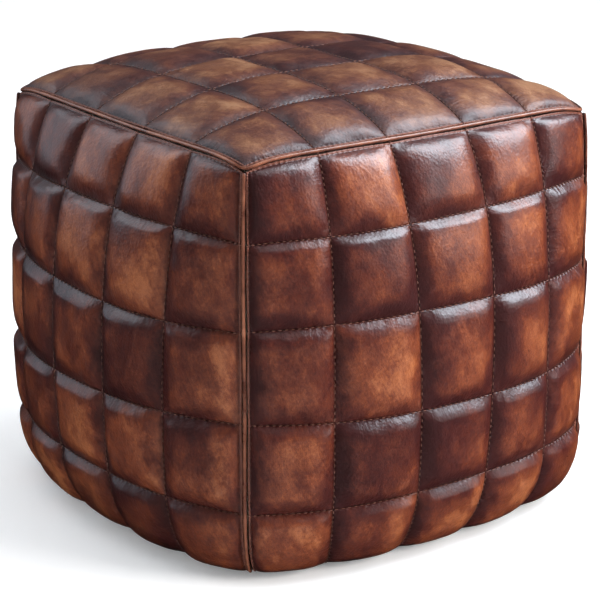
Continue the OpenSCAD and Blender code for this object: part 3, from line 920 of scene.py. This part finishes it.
outer, inner = (stuffing(d) for d in BAG)
around = len(outer[0])
count = len(outer) * around
faces = [f[::-1] for f in tube_faces(len(outer), around, False)[:-2]]
faces.append([(len(outer) - 1) * around + n for n in range(around)])
faces += [[n + count for n in f[::-1]] for f in faces]
for n in range(around):
    m = (n + 1) % around
    faces.append([n, m, count + m, count + n])
bag = make("filling_bag", np.concatenate([np.concatenate(outer), np.concatenate(inner)]),
           faces, BAG_COTTON)
place(bag, "bag_cotton", "inner_bag")

# ---- Base ----

BASE_CLOTH_THICK = 1.5
BASE_HALF = float(corner(np.float64(0))) - 1.4 - 1.5  # inside the leather, with clearance
BASE_SWELL = float(swell(np.float64(0)))


def base_half(name, panel_turn, node):
    """Half of the base cloth, flat on the floor, stepping up beside the zip."""
    across, along = 64, 26
    x_line = np.linspace(-1, 1, across) * (BASE_HALF + BASE_SWELL)
    rows = []
    # Depth of the outline at each x, where the ends curve with the sides
    depth = np.array([base_depth(x) for x in x_line])
    for f in np.linspace(0, 1, along) ** 0.75:
        y = 6 + (depth - 6) * f
        rise = np.clip((24 - y) / 6, 0, 1)
        rise = rise * rise * (3 - 2 * rise)
        crease = 0.18 * (1 + wave(x_line / 30, y / 30, 4, 1.3)) * np.clip((y - 24) / 30, 0, 1)
        height = 3.2 * rise + crease * np.clip((depth - y) / 20, 0, 1)
        rows.append(np.stack([x_line, -y, height], -1))
    lower = np.stack(rows)
    upper = lower + [0, 0, BASE_CLOTH_THICK]
    points, faces = slab(upper, lower)
    if panel_turn:
        points = points * [-1, -1, 1]
    piece = make(name, points, [f[::-1] for f in faces], BASE_CLOTH)
    place(piece, "base_cloth", node)


def base_depth(x):
    """How far the base reaches towards -Y at this x."""
    inner = BASE_HALF
    if abs(x) <= inner:
        return BASE_HALF + BASE_SWELL * float(bow(x / inner))
    f = min(1.0, (abs(x) - BASE_HALF) / BASE_SWELL)
    return max(7.0, BASE_HALF * (1 - f) ** (1 / BOW_POWER))


base_half("base_cloth_front", False, "base_front")
base_half("base_cloth_rear", True, "base_rear")



def repaint(node, material):
    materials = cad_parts[node].data.materials
    materials.clear()
    materials.append(material)


for node in ("zip_tape_front", "zip_tape_rear"):
    repaint(node, TAPE)
for node in ("zip_teeth_front", "zip_teeth_rear", "zip_stops", "zip_slider", "zip_pull"):
    repaint(node, BRASS)

# ---- Floor, light and camera ----


def backdrop(flat=3.0, bend=1.2, height=4.0, around=64):
    """A pale round floor that curves up into a wall far from the object.

    It is clear from its underside, and open under the base, so that the base can be seen.
    """
    s = Shader("pale_floor")
    s.finish(Base_Color=(0.93, 0.93, 0.93), Roughness=0.9, Emission_Color=(1.0, 1.0, 1.0),
             Emission_Strength=0.15)
    clear = s.node("ShaderNodeBsdfTransparent")
    under = s.node("ShaderNodeNewGeometry").outputs["Backfacing"]
    either = s.node("ShaderNodeMixShader", {0: under, 1: s.bsdf.outputs[0], 2: clear.outputs[0]})
    s.put(s.out.inputs[0], either.outputs[0])
    profile = [(1.5, 0.0), (flat, 0.0)]
    for n in range(1, 13):
        q = n / 12 * math.pi / 2
        profile.append((flat + bend * math.sin(q), bend * (1 - math.cos(q))))
    profile.append((flat + bend, height))
    share_round = np.arange(around // 4) * 4 / around
    edge = side_seam(share_round, 0 * share_round) * [0.965, 0.965, 0] * MM
    rings = [np.concatenate([turned(edge, panel) for panel in PANELS[1:]])]
    q = np.arctan2(rings[0][:, 1], rings[0][:, 0])
    rings += [np.stack([r * np.cos(q), r * np.sin(q), np.full(around, z)], -1) for r, z in profile]
    faces = tube_faces(len(rings), around, False)[:-2]
    piece = make("floor", np.concatenate(rings) / MM, faces, s.material)
    piece.visible_glossy = False


backdrop()


def aimed(thing, target, azimuth, elevation, distance):
    """Puts a light or camera at a distance from its target, and points it there."""
    a, e = math.radians(azimuth), math.radians(elevation)
    away = Vector((math.sin(a) * math.cos(e), -math.cos(a) * math.cos(e), math.sin(e)))
    thing.location = Vector(target) + away * distance
    thing.rotation_mode = "QUATERNION"
    thing.rotation_quaternion = (-away).to_track_quat("-Z", "Y")


def area_light(name, azimuth, elevation, distance, size, power, colour=(1, 1, 1), glossy=True):
    data = bpy.data.lights.new(name, "AREA")
    data.shape = "RECTANGLE"
    data.size, data.size_y = size
    data.energy = power
    data.color = colour
    lamp = bpy.data.objects.new(name, data)
    bpy.context.scene.collection.objects.link(lamp)
    lamp.visible_glossy = glossy
    aimed(lamp, (0, 0, 0.2), azimuth, elevation, distance)


area_light("overhead", 0, 80, 2.2, (1.8, 1.6), 10, (0.94, 0.97, 1.0))
area_light("band_box", 62, 47, 2.2, (1.2, 1.4), 58, (0.81, 0.90, 1.0))
area_light("left_box", -150, 44, 2.2, (1.5, 1.1), 10, (0.82, 0.90, 1.0))
area_light("left_sheen", -146, 15, 2.4, (1.7, 1.2), 6, (0.74, 0.86, 1.0))
area_light("right_sheen", 40, 14, 2.4, (1.6, 1.0), 7, (1.0, 0.96, 0.96))
area_light("right_fill", 30, 20, 2.4, (1.0, 1.0), 54, (1.0, 0.97, 0.94), glossy=False)
area_light("backdrop_light", 0, 90, 3.4, (4.0, 4.0), 50, glossy=False)
area_light("under_light", 0, -89, 1.3, (0.8, 0.8), 25, glossy=False)

# The studio is bright overhead and dim at the height of the object
world = bpy.data.worlds.new("studio")
world.use_nodes = True
tree = world.node_tree
where = tree.nodes.new("ShaderNodeTexCoord")
split = tree.nodes.new("ShaderNodeSeparateXYZ")
rise = tree.nodes.new("ShaderNodeMapRange")
rise.inputs[1].default_value, rise.inputs[2].default_value = -0.1, 0.8
rise.inputs[3].default_value, rise.inputs[4].default_value = 0.05, 0.36
tree.links.new(where.outputs["Generated"], split.inputs[0])
tree.links.new(split.outputs[2], rise.inputs[0])
tree.links.new(rise.outputs[0], tree.nodes["Background"].inputs[1])
bpy.context.scene.world = world

lens = bpy.data.cameras.new("camera")
lens.sensor_width = 36
lens.lens = lens.sensor_width / 2 / math.tan(math.radians(14.4 / 2))
camera = bpy.data.objects.new("camera", lens)
bpy.context.scene.collection.objects.link(camera)
aimed(camera, (0.003, -0.0022, 0.1882), -35.7, 17.5, 2.38)
bpy.context.scene.camera = camera
bpy.context.scene.view_settings.view_transform = "Standard"
